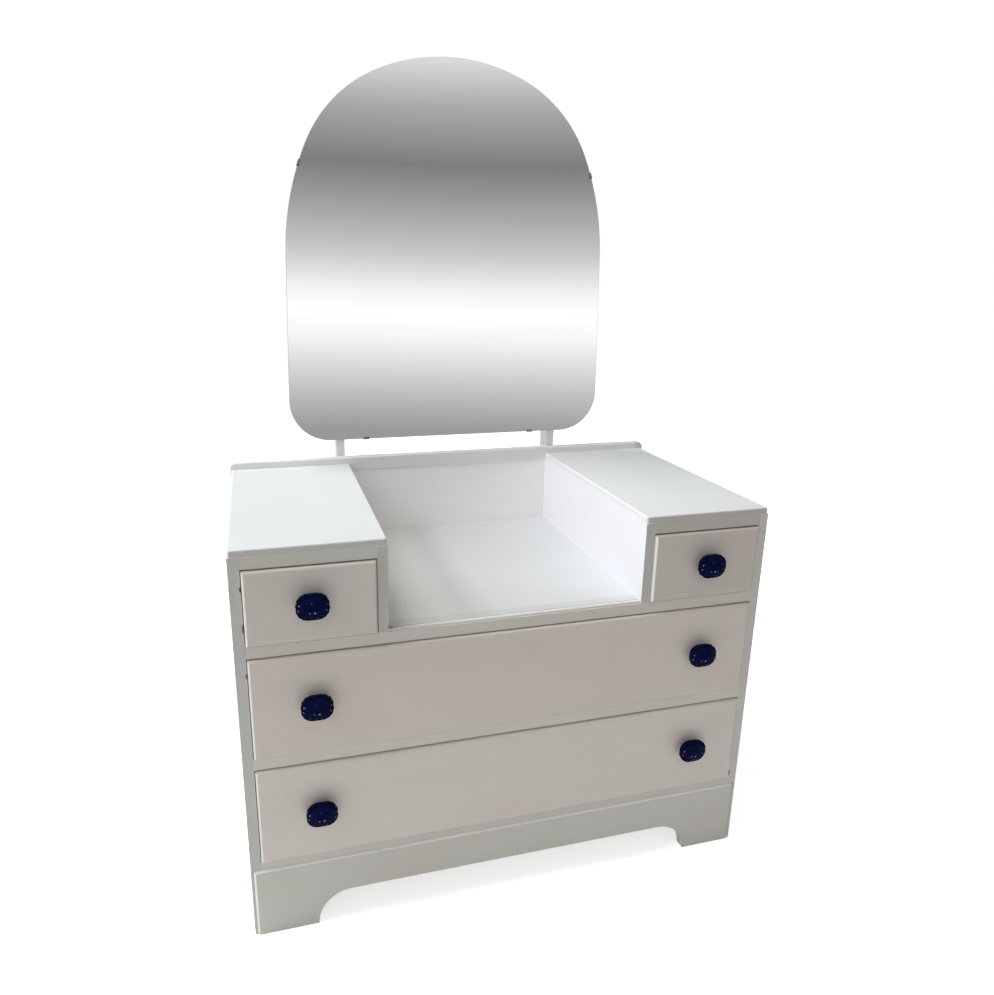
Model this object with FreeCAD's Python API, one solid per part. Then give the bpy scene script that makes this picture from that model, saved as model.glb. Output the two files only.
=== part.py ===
import FreeCAD, Part
import math
import os

os.makedirs("parts", exist_ok=True)

# A painted dressing table: two drawer pedestals beside a sunken well, two long drawers below,
# bracket feet, a low gallery along the back and a frameless arched mirror on two posts.
# Millimetres. X runs to the right across the front, Y to the back, Z up from the floor.
# Lengths in y are counted from the front plane of the carcass; the finished pieces are
# moved so that the middle of the whole depth lies on y = 0.

# Carcass
carcass_width = 914.0
carcass_depth = 490.0
side_thickness = 17.5
inner_side_thickness = 17.0
pedestal_width = 237.3
board_edge_radius = 1.2

# Heights from the floor up: plinth, drawer openings and the rails between them
plinth_height = 127.5
bottom_rail_thickness = 15.0
long_opening_height = 176.0
rail_thickness = 20.0
small_opening_height = 125.0
top_rail_height = 20.0
top_rail_thickness = 20.0

# Pedestal tops
top_thickness = 11.0
top_edge_radius = 3.0
top_corner_radius = 5.0
top_setback = 1.5
top_end_setback = 0.4

# Gallery along the back
gallery_thickness = 16.0
gallery_height = 28.0
gallery_rise = 14.0
gallery_overhang = 4.0
gallery_end_radius = 12.0
gallery_edge_radius = 3.0

# Well between the pedestals
well_floor_thickness = 5.0
well_lipping_depth = 22.0
well_lipping_setback = 1.5
well_lipping_radius = 4.0
well_back_thickness = 8.5

# Frames that the drawers run on
frame_rail_depth = 45.0
runner_width = 30.0
inner_runner_ledge = 20.0
well_floor_ledge = 10.0
tongue_length = 8.0
tongue_thickness = 6.0
kicker_width = 20.0

# Back panel
back_panel_thickness = 6.0
back_panel_lap = 8.0
back_panel_bottom = 60.0

# Nails of the back panel
nail_radius = 0.9
nail_length = 20.0
nail_head_radius = 2.0
nail_head_thickness = 0.8
side_nail_count = 6
rail_nail_count = 4
nail_end_margin = 40.0

# Plinth board with its bracket feet
plinth_proud = 3.0
plinth_let_in = 15.0
plinth_end_inset = 4.7
plinth_edge_radius = 5.0
foot_width = 102.5
apron_underside = 59.5
foot_curve_radius = 57.5
foot_corner_radius = 2.5

# Glue blocks behind the plinth board
glue_block_section = 25.0
glue_block_length = 60.0
glue_block_spacing = 260.0
glue_block_floor_gap = 8.0

# Drawers
front_thickness = 18.0
front_proud = 4.5
front_edge_radius = 4.3
front_gap_side = 1.2
front_gap_top = 2.2
front_gap_bottom = 1.0
drawer_rear_gap = 44.0
drawer_side_thickness = 10.0
drawer_side_clearance = 1.0
drawer_run_clearance = 0.5
small_side_height = 121.0
long_side_height = 172.0
front_lap = 8.0
drawer_back_thickness = 10.0
drawer_back_housing = 4.0
drawer_back_drop = 10.0
drawer_back_inset = 12.0
drawer_bottom_thickness = 4.0
drawer_bottom_rise = 8.0
bottom_groove_depth = 5.0
bottom_groove_play = 0.2

# Drawer stops
stop_width = 40.0
stop_length = 30.0
stop_height = 5.0
stop_gap = 0.3
long_stop_inset = 90.0

# Knobs, cut with flat facets all round
knob_width = 51.0
knob_height = 44.0
knob_projection = 30.0
knob_rise = 4.0
knob_neck_radius = 8.0
knob_neck_length = 8.0
knob_girdle_thickness = 6.0
knob_table_depth = 1.5
knob_crown_depth = 3.0
knob_facet_count = 16
knob_roundness = 0.8
knob_back_share = 0.55
knob_crown_share = 0.80
knob_table_share = 0.36
knob_screw_radius = 2.0
knob_screw_reach = 13.0
knob_screw_head_radius = 4.0
knob_screw_head_height = 2.6

# Mirror plate, an arch of three radii on each side over sides that lean out slightly
mirror_height = 734.5
mirror_bottom = 741.0
mirror_top_radius = 369.0
mirror_top_angle = 24.8
mirror_haunch_radius = 262.5
mirror_haunch_angle = 66.0
mirror_shoulder_radius = 514.0
mirror_side_angle = 88.5
mirror_corner_radius = 82.0
glass_thickness = 4.0
glass_arris = 0.6
backboard_thickness = 6.0
backboard_inset = 2.0

# Mirror posts and their screws
post_width = 17.0
post_depth = 38.5
post_spacing = 470.8
post_top = 1300.0
post_edge_radius = 1.5
wood_screw_radius = 2.2
wood_screw_head_radius = 4.4
wood_screw_head_height = 2.4
rail_screw_length = 66.0
gallery_screw_length = 50.0
board_screw_length = 30.0
board_screw_margin = 60.0
gallery_screw_rise = 6.0

# Mirror clips
clip_thickness = 1.0
clip_width = 12.0
clip_lip_length = 4.0
clip_leg_length = 20.0
clip_play = 0.3
clip_shoulder_angle = 70.0
clip_bottom_offset = 182.0
clip_screw_radius = 1.5
clip_screw_head_radius = 2.8
clip_screw_head_height = 1.2
clip_screw_length = 5.5

# Clearance of a screw or nail in its hole, the overrun of every cut and the match of planes
hole_clearance = 0.05
cut_overrun = 5.0
plane_tolerance = 0.01

# Heights worked out from the stack
bottom_rail_top = plinth_height + bottom_rail_thickness
mid_rail_bottom = bottom_rail_top + long_opening_height
mid_rail_top = mid_rail_bottom + rail_thickness
upper_rail_bottom = mid_rail_top + long_opening_height
upper_rail_top = upper_rail_bottom + rail_thickness
top_rail_bottom = upper_rail_top + small_opening_height
side_height = top_rail_bottom + top_rail_height
pedestal_height = side_height + top_thickness
gallery_top = pedestal_height + gallery_rise
gallery_bottom = gallery_top - gallery_height

# Places across the width, on the right half
side_outer_x = carcass_width / 2
side_inner_x = side_outer_x - side_thickness
well_wall_x = side_outer_x - pedestal_width
inner_side_x = well_wall_x + inner_side_thickness
small_drawer_x = (inner_side_x + side_inner_x) / 2
post_x = post_spacing / 2

# Places in the depth
gallery_front_y = carcass_depth - gallery_thickness
back_panel_y = carcass_depth - back_panel_thickness
well_back_y = back_panel_y - well_back_thickness
rear_rail_y = back_panel_y - frame_rail_depth
drawer_rear_y = back_panel_y - drawer_rear_gap
front_back_y = front_thickness - front_proud
backboard_y = carcass_depth - backboard_thickness
glass_y = backboard_y - glass_thickness
post_rear_y = carcass_depth + post_depth
screw_head_rear_y = post_rear_y + wood_screw_head_height
middle_y = (screw_head_rear_y - knob_projection) / 2


def box(x0, x1, y0, y1, z0, z1):
    """Box between two corners, given as pairs of limits."""
    corner = FreeCAD.Vector(min(x0, x1), y0, z0)
    return Part.makeBox(abs(x1 - x0), y1 - y0, z1 - z0, corner)


def rod_y(radius, x, z, y0, y1):
    """Round rod along Y."""
    return Part.makeCylinder(radius, y1 - y0, FreeCAD.Vector(x, y0, z), FreeCAD.Vector(0, 1, 0))


def cone_y(radius0, radius1, x, z, y0, y1):
    """Cone along Y."""
    return Part.makeCone(radius0, radius1, y1 - y0, FreeCAD.Vector(x, y0, z), FreeCAD.Vector(0, 1, 0))


def in_plane(edge, axis, value):
    """Whether an edge lies in the plane where the axis has this value."""
    bounds = edge.BoundBox
    low = getattr(bounds, axis + "Min")
    high = getattr(bounds, axis + "Max")
    return abs(low - value) < plane_tolerance and abs(high - value) < plane_tolerance


def round_edges(shape, radius, *planes):
    """Round every edge that lies in all the given (axis, value) planes."""
    edges = [edge for edge in shape.Edges if all(in_plane(edge, *plane) for plane in planes)]
    return shape.makeFillet(radius, edges)


def mirrored(shape):
    """The same piece on the other side of the middle."""
    return shape.mirror(FreeCAD.Vector(0, 0, 0), FreeCAD.Vector(1, 0, 0))


def save(name, *shapes):
    """Write one node, moved so that the middle of the whole depth is on y = 0."""
    placed = [shape.copy() for shape in shapes]
    for shape in placed:
        shape.translate(FreeCAD.Vector(0, -middle_y, 0))
    node = placed[0] if len(placed) == 1 else Part.makeCompound(placed)
    node.exportStep(os.path.join("parts", name + ".step"))


def save_pair(name, right):
    """Write the left and the right piece as two nodes."""
    save(name + "_right", right)
    save(name + "_left", mirrored(right))


def nail_places():
    """Centres of the back panel's nails, as (x, z)."""
    places = []
    side_x = side_inner_x + back_panel_lap / 2
    low = back_panel_bottom + nail_end_margin
    high = gallery_bottom - nail_end_margin
    for index in range(side_nail_count):
        z = low + (high - low) * index / (side_nail_count - 1)
        places += [(-side_x, z), (side_x, z)]
    reach = side_inner_x - nail_end_margin
    for z in (bottom_rail_top - bottom_rail_thickness / 2, mid_rail_top - rail_thickness / 2,
              upper_rail_top - rail_thickness / 2):
        for index in range(rail_nail_count):
            places.append((-reach + 2 * reach * index / (rail_nail_count - 1), z))
    return places


def nail(x, z):
    """One nail, its head on the rear face of the back panel."""
    shank = rod_y(nail_radius, x, z, carcass_depth - nail_length, carcass_depth)
    head = rod_y(nail_head_radius, x, z, carcass_depth, carcass_depth + nail_head_thickness)
    return shank.fuse(head).removeSplitter()


def with_nail_holes(shape):
    """Cut the nail holes that meet this piece."""
    for x, z in nail_places():
        hole = rod_y(nail_radius + hole_clearance, x, z, carcass_depth - nail_length,
                     carcass_depth + cut_overrun)
        if shape.BoundBox.intersect(hole.BoundBox):
            shape = shape.cut(hole)
    return shape


def post_screw_places():
    """Centres and lengths of one post's screws, as (z, length)."""
    return [
        (mid_rail_top - rail_thickness / 2, rail_screw_length),
        (upper_rail_top - rail_thickness / 2, rail_screw_length),
        (pedestal_height + gallery_screw_rise, gallery_screw_length),
    ]


def post_screw(x, z, length):
    """Pan-head wood screw from the rear face of a post."""
    shank = rod_y(wood_screw_radius, x, z, post_rear_y - length, post_rear_y)
    head = rod_y(wood_screw_head_radius, x, z, post_rear_y, screw_head_rear_y)
    return shank.fuse(head).removeSplitter()


def with_post_screw_holes(shape):
    """Cut the post screws' holes that meet this piece."""
    for side in (-1, 1):
        for z, length in post_screw_places():
            hole = rod_y(wood_screw_radius + hole_clearance, side * post_x, z,
                         post_rear_y - length, post_rear_y + cut_overrun)
            if shape.BoundBox.intersect(hole.BoundBox):
                shape = shape.cut(hole)
    return shape


def build_sides():
    """Outer side panels with the housings of the plinth, the gallery and the back panel."""
    panel = box(side_inner_x, side_outer_x, 0, carcass_depth, 0, side_height)
    panel = round_edges(panel, board_edge_radius, ("Y", 0), ("X", side_outer_x))
    panel = panel.cut(plinth_blank(cut_overrun))
    panel = panel.cut(box(side_inner_x - cut_overrun, side_outer_x + cut_overrun, gallery_front_y,
                          carcass_depth + cut_overrun, gallery_bottom, side_height + cut_overrun))
    panel = panel.cut(box(side_inner_x - cut_overrun, side_inner_x + back_panel_lap, back_panel_y,
                          carcass_depth + cut_overrun, back_panel_bottom, gallery_bottom))
    save_pair("side", with_nail_holes(panel))


def build_inner_sides():
    """Inner panels, which stand on the upper frame."""
    panel = box(well_wall_x, inner_side_x, 0, back_panel_y, upper_rail_top, side_height)
    panel = round_edges(panel, board_edge_radius, ("Y", 0), ("X", well_wall_x))
    panel = panel.cut(box(well_wall_x - cut_overrun, inner_side_x + cut_overrun, gallery_front_y,
                          back_panel_y + cut_overrun, gallery_bottom, side_height + cut_overrun))
    save_pair("inner_side", panel)


def build_tops():
    """Pedestal tops with rounded upper edges, butted against the gallery."""
    inner_end = well_wall_x + top_end_setback
    outer_end = side_outer_x - top_end_setback
    top = box(inner_end, outer_end, top_setback, gallery_front_y, side_height, pedestal_height)
    for x in (inner_end, outer_end):
        top = round_edges(top, top_corner_radius, ("X", x), ("Y", top_setback))
    save_pair("top", round_edges(top, top_edge_radius, ("Z", pedestal_height)))


def build_gallery():
    """Low board along the back, its upper corners and arrises rounded."""
    end_x = side_outer_x + gallery_overhang
    board = box(-end_x, end_x, gallery_front_y, carcass_depth, gallery_bottom, gallery_top)
    for x in (-end_x, end_x):
        board = round_edges(board, gallery_end_radius, ("X", x), ("Z", gallery_top))
    for y in (gallery_front_y, carcass_depth):
        edges = [edge for edge in board.Edges
                 if in_plane(edge, "Y", y) and not in_plane(edge, "Z", gallery_bottom)]
        board = board.makeFillet(gallery_edge_radius, edges)
    save("gallery_board", with_post_screw_holes(board))


def build_well():
    """Floor of the well, the solid lipping along its front edge and the board at its back."""
    floor_top = upper_rail_top + well_floor_thickness
    lipping_back_y = well_lipping_setback + well_lipping_depth
    floor = box(-well_wall_x, well_wall_x, lipping_back_y, well_back_y, upper_rail_top, floor_top)
    save("well_floor", floor)
    lipping = box(-well_wall_x, well_wall_x, well_lipping_setback, lipping_back_y,
                  upper_rail_top, floor_top)
    save("well_lipping", round_edges(lipping, well_lipping_radius,
                                     ("Y", well_lipping_setback), ("Z", floor_top)))
    save("well_back", box(-well_wall_x, well_wall_x, well_back_y, back_panel_y,
                          upper_rail_top, gallery_bottom))


def build_back_panel():
    """Plywood back between the side panels' rebates, from under the gallery down."""
    edge_x = side_inner_x + back_panel_lap
    panel = box(-edge_x, edge_x, back_panel_y, carcass_depth, back_panel_bottom, gallery_bottom)
    save("back_panel", with_post_screw_holes(with_nail_holes(panel)))
    save("back_panel_nails", *[nail(x, z) for x, z in nail_places()])


def build_pedestal_rails():
    """Rails and kickers under the pedestal tops."""
    front = box(inner_side_x, side_inner_x, 0, top_rail_thickness, top_rail_bottom, side_height)
    save_pair("top_rail", round_edges(front, board_edge_radius, ("Y", 0), ("Z", top_rail_bottom)))
    rear_y = gallery_front_y - top_rail_thickness
    rear = box(inner_side_x, side_inner_x, rear_y, gallery_front_y, top_rail_bottom, side_height)
    save("top_rear_rails", rear, mirrored(rear))
    outer = box(side_inner_x - kicker_width, side_inner_x, top_rail_thickness, rear_y,
                top_rail_bottom, side_height)
    inner = box(inner_side_x, inner_side_x + kicker_width, top_rail_thickness, rear_y,
                top_rail_bottom, side_height)
    save("top_kickers", outer, inner, mirrored(outer), mirrored(inner))


def frame_groove(y0, y1, z_middle):
    """Groove along a rail for the runners' tongues."""
    return box(-side_inner_x - cut_overrun, side_inner_x + cut_overrun, y0, y1,
               z_middle - tongue_thickness / 2, z_middle + tongue_thickness / 2)


def build_frame_rails(name, z0, z1):
    """Front and rear rail of one frame, grooved for the runners."""
    z_middle = (z0 + z1) / 2
    front = box(-side_inner_x, side_inner_x, 0, frame_rail_depth, z0, z1)
    front = round_edges(front, board_edge_radius, ("Y", 0), ("Z", z1))
    front = front.cut(frame_groove(frame_rail_depth - tongue_length,
                                   frame_rail_depth + cut_overrun, z_middle))
    save(name + "_rail_front", front)
    rear = box(-side_inner_x, side_inner_x, rear_rail_y, back_panel_y, z0, z1)
    rear = rear.cut(frame_groove(rear_rail_y - cut_overrun, rear_rail_y + tongue_length, z_middle))
    save(name + "_rail_rear", with_post_screw_holes(with_nail_holes(rear)))


def runner(x0, x1, z0, z1):
    """Runner between the rails of a frame, with a tongue at each end."""
    z_middle = (z0 + z1) / 2
    body = box(x0, x1, frame_rail_depth, rear_rail_y, z0, z1)
    tongue = box(x0, x1, frame_rail_depth - tongue_length, rear_rail_y + tongue_length,
                 z_middle - tongue_thickness / 2, z_middle + tongue_thickness / 2)
    return body.fuse(tongue).removeSplitter()


def build_frames():
    """The three frames that the drawers run on; the upper one also carries the well's edges."""
    outer_x = side_inner_x - runner_width
    levels = [
        ("bottom", plinth_height, bottom_rail_top),
        ("mid", mid_rail_bottom, mid_rail_top),
        ("upper", upper_rail_bottom, upper_rail_top),
    ]
    for name, z0, z1 in levels:
        build_frame_rails(name, z0, z1)
        runners = [runner(outer_x, side_inner_x, z0, z1)]
        if name == "upper":
            runners.append(runner(well_wall_x - well_floor_ledge, inner_side_x + inner_runner_ledge,
                                  z0, z1))
        save(name + "_runners", *runners, *[mirrored(piece) for piece in runners])


def plinth_blank(end_overrun):
    """The plinth board before its arrises and cut-out, or the housing that it fits."""
    edge_x = side_outer_x - plinth_end_inset
    return box(-edge_x, edge_x, -plinth_proud - end_overrun, plinth_let_in,
               -end_overrun, plinth_height)


def foot_cut_out(y0, y1):
    """Space under the apron: straight above, with a quarter round at each foot."""
    foot_x = side_outer_x - plinth_end_inset - foot_width
    curve_x = foot_x - foot_curve_radius
    spring_z = apron_underside - foot_curve_radius
    slanted = foot_curve_radius * math.sqrt(0.5)
    points = [
        FreeCAD.Vector(-foot_x, y0, -cut_overrun),
        FreeCAD.Vector(-foot_x, y0, spring_z),
        FreeCAD.Vector(-curve_x - slanted, y0, spring_z + slanted),
        FreeCAD.Vector(-curve_x, y0, apron_underside),
        FreeCAD.Vector(curve_x, y0, apron_underside),
        FreeCAD.Vector(curve_x + slanted, y0, spring_z + slanted),
        FreeCAD.Vector(foot_x, y0, spring_z),
        FreeCAD.Vector(foot_x, y0, -cut_overrun),
    ]
    edges = [
        Part.makeLine(points[0], points[1]),
        Part.Arc(points[1], points[2], points[3]).toShape(),
        Part.makeLine(points[3], points[4]),
        Part.Arc(points[4], points[5], points[6]).toShape(),
        Part.makeLine(points[6], points[7]),
        Part.makeLine(points[7], points[0]),
    ]
    return Part.Face(Part.Wire(edges)).extrude(FreeCAD.Vector(0, y1 - y0, 0))


def build_plinth():
    """Plinth board, proud of the carcass and let into the side panels' front edges."""
    board = plinth_blank(0)
    edge_x = side_outer_x - plinth_end_inset
    for plane in (("Z", plinth_height), ("X", -edge_x), ("X", edge_x)):
        board = round_edges(board, plinth_edge_radius, ("Y", -plinth_proud), plane)
    board = board.cut(foot_cut_out(-plinth_proud - cut_overrun, plinth_let_in + cut_overrun))
    foot_x = edge_x - foot_width
    for x in (-foot_x, foot_x):
        board = round_edges(board, foot_corner_radius, ("X", x), ("Z", 0))
    save("plinth_board", board)


def build_glue_blocks():
    """Blocks behind the plinth: one in each corner and a row under the bottom rail."""
    back_y = plinth_let_in + glue_block_section
    corner = box(side_inner_x - glue_block_section, side_inner_x, plinth_let_in, back_y,
                 glue_block_floor_gap, plinth_height)
    blocks = [corner, mirrored(corner)]
    for index in (-1, 0, 1):
        x = index * glue_block_spacing
        blocks.append(box(x - glue_block_length / 2, x + glue_block_length / 2, plinth_let_in, back_y,
                          plinth_height - glue_block_section, plinth_height))
    save("plinth_glue_blocks", *blocks)


def facet_ring(width, height, x, y, z):
    """Many-sided ring of the knob, wider than it is high; less roundness gives squarer corners."""
    points = []
    for index in range(knob_facet_count + 1):
        angle = 2 * math.pi * (index % knob_facet_count) / knob_facet_count
        sideways, upwards = math.cos(angle), math.sin(angle)
        points.append(FreeCAD.Vector(
            x + width / 2 * math.copysign(abs(sideways) ** knob_roundness, sideways), y,
            z + height / 2 * math.copysign(abs(upwards) ** knob_roundness, upwards)))
    return Part.makePolygon(points)


def knob(x, z):
    """Cut knob: a narrow back, a wide girdle, a crown and a flat table, on a round neck."""
    seat_y = -front_proud
    tip_y = -knob_projection
    crown_y = tip_y + knob_table_depth
    girdle_front_y = crown_y + knob_crown_depth
    girdle_back_y = girdle_front_y + knob_girdle_thickness
    head_back_y = seat_y - knob_neck_length
    rings = [
        facet_ring(knob_width * knob_back_share, knob_height * knob_back_share, x, head_back_y, z),
        facet_ring(knob_width, knob_height, x, girdle_back_y, z),
        facet_ring(knob_width, knob_height, x, girdle_front_y, z),
        facet_ring(knob_width * knob_crown_share, knob_height * knob_crown_share, x, crown_y, z),
        facet_ring(knob_width * knob_table_share, knob_height * knob_table_share, x, tip_y, z),
    ]
    head = Part.makeLoft(rings, True, True)
    neck = rod_y(knob_neck_radius, x, z, head_back_y - knob_girdle_thickness, seat_y)
    hole = rod_y(knob_screw_radius + hole_clearance, x, z, seat_y - knob_screw_reach,
                 seat_y + cut_overrun)
    return head.fuse(neck).removeSplitter().cut(hole)


def knob_screw(x, z):
    """Pan-head screw from inside the drawer into the knob."""
    shank = rod_y(knob_screw_radius, x, z, -front_proud - knob_screw_reach, front_back_y)
    head = rod_y(knob_screw_head_radius, x, z, front_back_y, front_back_y + knob_screw_head_height)
    return shank.fuse(head).removeSplitter()


def drawer_front(x0, x1, z0, z1, groove_z, knob_places):
    """Inset front with rounded arrises, rebated for the sides and grooved for the bottom."""
    left = x0 + front_gap_side
    right = x1 - front_gap_side
    front = box(left, right, -front_proud, front_back_y, z0 + front_gap_bottom, z1 - front_gap_top)
    front = round_edges(front, front_edge_radius, ("Y", -front_proud))
    reach = drawer_side_clearance + drawer_side_thickness
    lap_y = front_back_y - front_lap
    for a, b in ((x0 - cut_overrun, x0 + reach), (x1 - reach, x1 + cut_overrun)):
        front = front.cut(box(a, b, lap_y, front_back_y + cut_overrun, z0 - cut_overrun,
                              z1 + cut_overrun))
    front = front.cut(box(x0 + reach - cut_overrun, x1 - reach + cut_overrun,
                          front_back_y - bottom_groove_depth, front_back_y + cut_overrun, groove_z,
                          groove_z + drawer_bottom_thickness + bottom_groove_play))
    for x, z in knob_places:
        front = front.cut(rod_y(knob_screw_radius + hole_clearance, x, z, -front_proud - cut_overrun,
                                front_back_y + cut_overrun))
    return front


def drawer_side(x_out, x_in, z0, height, groove_z, back_y):
    """Drawer side, outer face first, grooved for the bottom and housed for the back."""
    inwards = math.copysign(1, x_in - x_out)
    side = box(x_out, x_in, front_back_y - front_lap, drawer_rear_y, z0, z0 + height)
    side = side.cut(box(x_in - inwards * bottom_groove_depth, x_in + inwards * cut_overrun,
                        -cut_overrun, drawer_rear_y + cut_overrun, groove_z,
                        groove_z + drawer_bottom_thickness + bottom_groove_play))
    side = side.cut(box(x_in - inwards * drawer_back_housing, x_in + inwards * cut_overrun,
                        back_y, back_y + drawer_back_thickness,
                        groove_z + drawer_bottom_thickness, z0 + height + cut_overrun))
    return side


def build_drawer(name, x0, x1, z0, z1, side_height_here, knob_xs):
    """One drawer in the opening from x0 to x1 and z0 to z1."""
    run_z = z0 + drawer_run_clearance
    groove_z = run_z + drawer_bottom_rise
    back_y = drawer_rear_y - drawer_back_inset - drawer_back_thickness
    knob_places = [(x, (z0 + z1) / 2 + knob_rise) for x in knob_xs]
    save(name + "_front", drawer_front(x0, x1, z0, z1, groove_z, knob_places))

    out_left = x0 + drawer_side_clearance
    out_right = x1 - drawer_side_clearance
    in_left = out_left + drawer_side_thickness
    in_right = out_right - drawer_side_thickness
    sides = [drawer_side(out_left, in_left, run_z, side_height_here, groove_z, back_y),
             drawer_side(out_right, in_right, run_z, side_height_here, groove_z, back_y)]
    save(name + "_sides", *sides)

    bottom = box(in_left - bottom_groove_depth, in_right + bottom_groove_depth,
                 front_back_y - bottom_groove_depth, drawer_rear_y, groove_z,
                 groove_z + drawer_bottom_thickness)
    save(name + "_bottom", bottom)
    back = box(in_left - drawer_back_housing, in_right + drawer_back_housing, back_y,
               back_y + drawer_back_thickness, groove_z + drawer_bottom_thickness,
               run_z + side_height_here - drawer_back_drop)
    save(name + "_back", back)

    plural = "s" if len(knob_places) > 1 else ""
    save(name + "_knob" + plural, *[knob(x, z) for x, z in knob_places])
    save(name + "_knob_screw" + plural, *[knob_screw(x, z) for x, z in knob_places])


def build_drawers():
    """Two small drawers in the pedestals and two long ones below."""
    build_drawer("small_left", -side_inner_x, -inner_side_x, upper_rail_top, top_rail_bottom,
                 small_side_height, [-small_drawer_x])
    build_drawer("small_right", inner_side_x, side_inner_x, upper_rail_top, top_rail_bottom,
                 small_side_height, [small_drawer_x])
    build_drawer("long_upper", -side_inner_x, side_inner_x, mid_rail_top, upper_rail_bottom,
                 long_side_height, [-small_drawer_x, small_drawer_x])
    build_drawer("long_lower", -side_inner_x, side_inner_x, bottom_rail_top, mid_rail_bottom,
                 long_side_height, [-small_drawer_x, small_drawer_x])


def build_stops():
    """Blocks on the front rails that the closed drawers' fronts meet."""
    y0 = front_back_y + stop_gap
    long_x = side_inner_x - long_stop_inset
    places = [(-small_drawer_x, upper_rail_top), (small_drawer_x, upper_rail_top)]
    for z in (mid_rail_top, bottom_rail_top):
        places += [(-long_x, z), (long_x, z)]
    stops = [box(x - stop_width / 2, x + stop_width / 2, y0, y0 + stop_length, z, z + stop_height)
             for x, z in places]
    save("drawer_stops", *stops)


def on_arc(centre, radius, angle):
    """Point of an arc at an angle from straight up, as (x, z)."""
    return (centre[0] + radius * math.sin(math.radians(angle)),
            centre[1] + radius * math.cos(math.radians(angle)))


def mirror_arcs(inset):
    """Right half of the mirror's outline as arcs: (centre, radius, first angle, last angle)."""
    top_radius = mirror_top_radius - inset
    haunch_radius = mirror_haunch_radius - inset
    shoulder_radius = mirror_shoulder_radius - inset
    corner_radius = mirror_corner_radius - inset
    top_centre = (0, mirror_bottom + mirror_height - mirror_top_radius)
    spring = on_arc(top_centre, top_radius, mirror_top_angle)
    haunch_centre = on_arc(spring, -haunch_radius, mirror_top_angle)
    shoulder = on_arc(haunch_centre, haunch_radius, mirror_haunch_angle)
    shoulder_centre = on_arc(shoulder, -shoulder_radius, mirror_haunch_angle)
    side_start = on_arc(shoulder_centre, shoulder_radius, mirror_side_angle)
    side_angle = math.radians(mirror_side_angle)
    corner_centre_z = mirror_bottom + mirror_corner_radius
    side_end_z = corner_centre_z + corner_radius * math.cos(side_angle)
    side_length = (side_start[1] - side_end_z) / math.sin(side_angle)
    corner_centre_x = (side_start[0] + side_length * math.cos(side_angle)
                       - corner_radius * math.sin(side_angle))
    return [
        (top_centre, top_radius, 0, mirror_top_angle),
        (haunch_centre, haunch_radius, mirror_top_angle, mirror_haunch_angle),
        (shoulder_centre, shoulder_radius, mirror_haunch_angle, mirror_side_angle),
        ((corner_centre_x, corner_centre_z), corner_radius, mirror_side_angle, 180),
    ]


def mirror_face(inset, y):
    """Flat face with the mirror's outline, drawn in by the inset."""
    half = []
    for centre, radius, first, last in mirror_arcs(inset):
        points = [on_arc(centre, radius, angle) for angle in (first, (first + last) / 2, last)]
        corners = [FreeCAD.Vector(x, y, z) for x, z in points]
        if half:
            previous = half[-1].Vertexes[-1].Point
            if previous.distanceToPoint(corners[0]) > plane_tolerance:
                half.append(Part.makeLine(previous, corners[0]))
        half.append(Part.Arc(*corners).toShape())
    low = half[-1].Vertexes[-1].Point
    half.append(Part.makeLine(low, FreeCAD.Vector(0, y, low.z)))
    other = [mirrored(edge) for edge in half]
    ordered = Part.__sortEdges__(half + other)
    return Part.Face(Part.Wire(ordered))


def board_screw_places():
    """Centres of the screws through the backboard into the posts, as (x, z)."""
    low = mirror_bottom + board_screw_margin
    high = post_top - board_screw_margin
    return [(x, z) for x in (-post_x, post_x) for z in (low, high)]


def board_screw(x, z):
    """Countersunk screw, its head flush with the backboard under the glass."""
    head = cone_y(wood_screw_head_radius, wood_screw_radius, x, z, backboard_y,
                  backboard_y + wood_screw_head_height)
    shank = rod_y(wood_screw_radius, x, z, backboard_y + wood_screw_head_height,
                  backboard_y + board_screw_length)
    return head.fuse(shank).removeSplitter()


def board_screw_hole(x, z):
    """Countersunk hole of one backboard screw."""
    head = cone_y(wood_screw_head_radius + hole_clearance, wood_screw_radius + hole_clearance,
                  x, z, backboard_y, backboard_y + wood_screw_head_height)
    shank = rod_y(wood_screw_radius + hole_clearance, x, z, backboard_y,
                  backboard_y + board_screw_length + hole_clearance)
    return head.fuse(shank)


def clip_places():
    """Where the clips hold the edge: (x, z, turn), the turn from straight down in degrees."""
    shoulder_centre, shoulder_radius, first, last = mirror_arcs(0)[2]
    x, z = on_arc(shoulder_centre, shoulder_radius, clip_shoulder_angle)
    turn = 180 - clip_shoulder_angle
    return [(x, z, turn), (-x, z, -turn),
            (clip_bottom_offset, mirror_bottom, 0), (-clip_bottom_offset, mirror_bottom, 0)]


def turned(shape, x, z, turn):
    """Turn a clip drawn at the bottom edge to its place on the outline."""
    placed = shape.copy()
    placed.rotate(FreeCAD.Vector(0, 0, 0), FreeCAD.Vector(0, -1, 0), turn)
    placed.translate(FreeCAD.Vector(x, 0, z))
    return placed


def clip_at_origin():
    """Sheet metal clip round the lower edge of the glass and the backboard, edge at z = 0."""
    half = clip_width / 2
    front_y = glass_y - clip_play
    leg = box(-half, half, carcass_depth, carcass_depth + clip_thickness,
              -clip_play - clip_thickness, clip_leg_length)
    web = box(-half, half, front_y - clip_thickness, carcass_depth + clip_thickness,
              -clip_play - clip_thickness, -clip_play)
    lip = box(-half, half, front_y - clip_thickness, front_y, -clip_play, clip_lip_length)
    clip = leg.fuse([web, lip]).removeSplitter()
    return clip.cut(clip_screw_hole_at_origin())


def clip_screw_z():
    """Height of a clip's screw over the edge, in the middle of its leg."""
    return backboard_inset + (clip_leg_length - backboard_inset) / 2


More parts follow.
